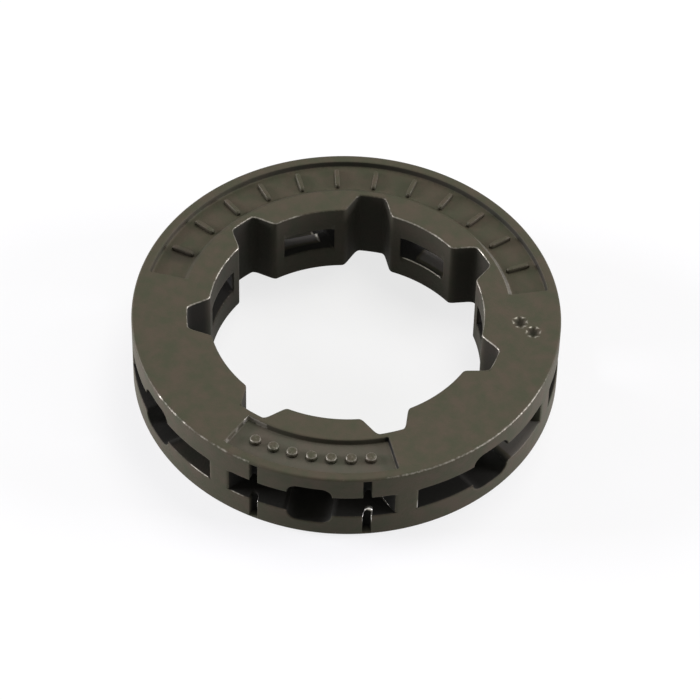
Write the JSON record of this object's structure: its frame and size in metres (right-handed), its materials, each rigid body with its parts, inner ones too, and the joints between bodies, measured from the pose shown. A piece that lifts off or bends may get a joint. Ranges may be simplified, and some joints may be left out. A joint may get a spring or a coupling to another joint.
{
  "type": "chainsaw rim sprocket",
  "caption": "Cast steel ring with a splined bore and drive link pockets round its rim; it slides on a toothed drum hub and pulls the chain of a chainsaw.",
  "frame": {"origin": "centre of the splined bore on the lower face", "axes": "+Z along the bore axis towards the upper face with the sunk fields; -Y points out through the marked pocket with the wear slits"},
  "size_m": [0.035, 0.035, 0.007],
  "materials": {
    "oxide_steel": "as cast, dark oxide, satin, brighter where edges rub"
  },
  "bodies": {
    "root": {"rim_sprocket": "oxide_steel"}
  },
  "joints": []
}
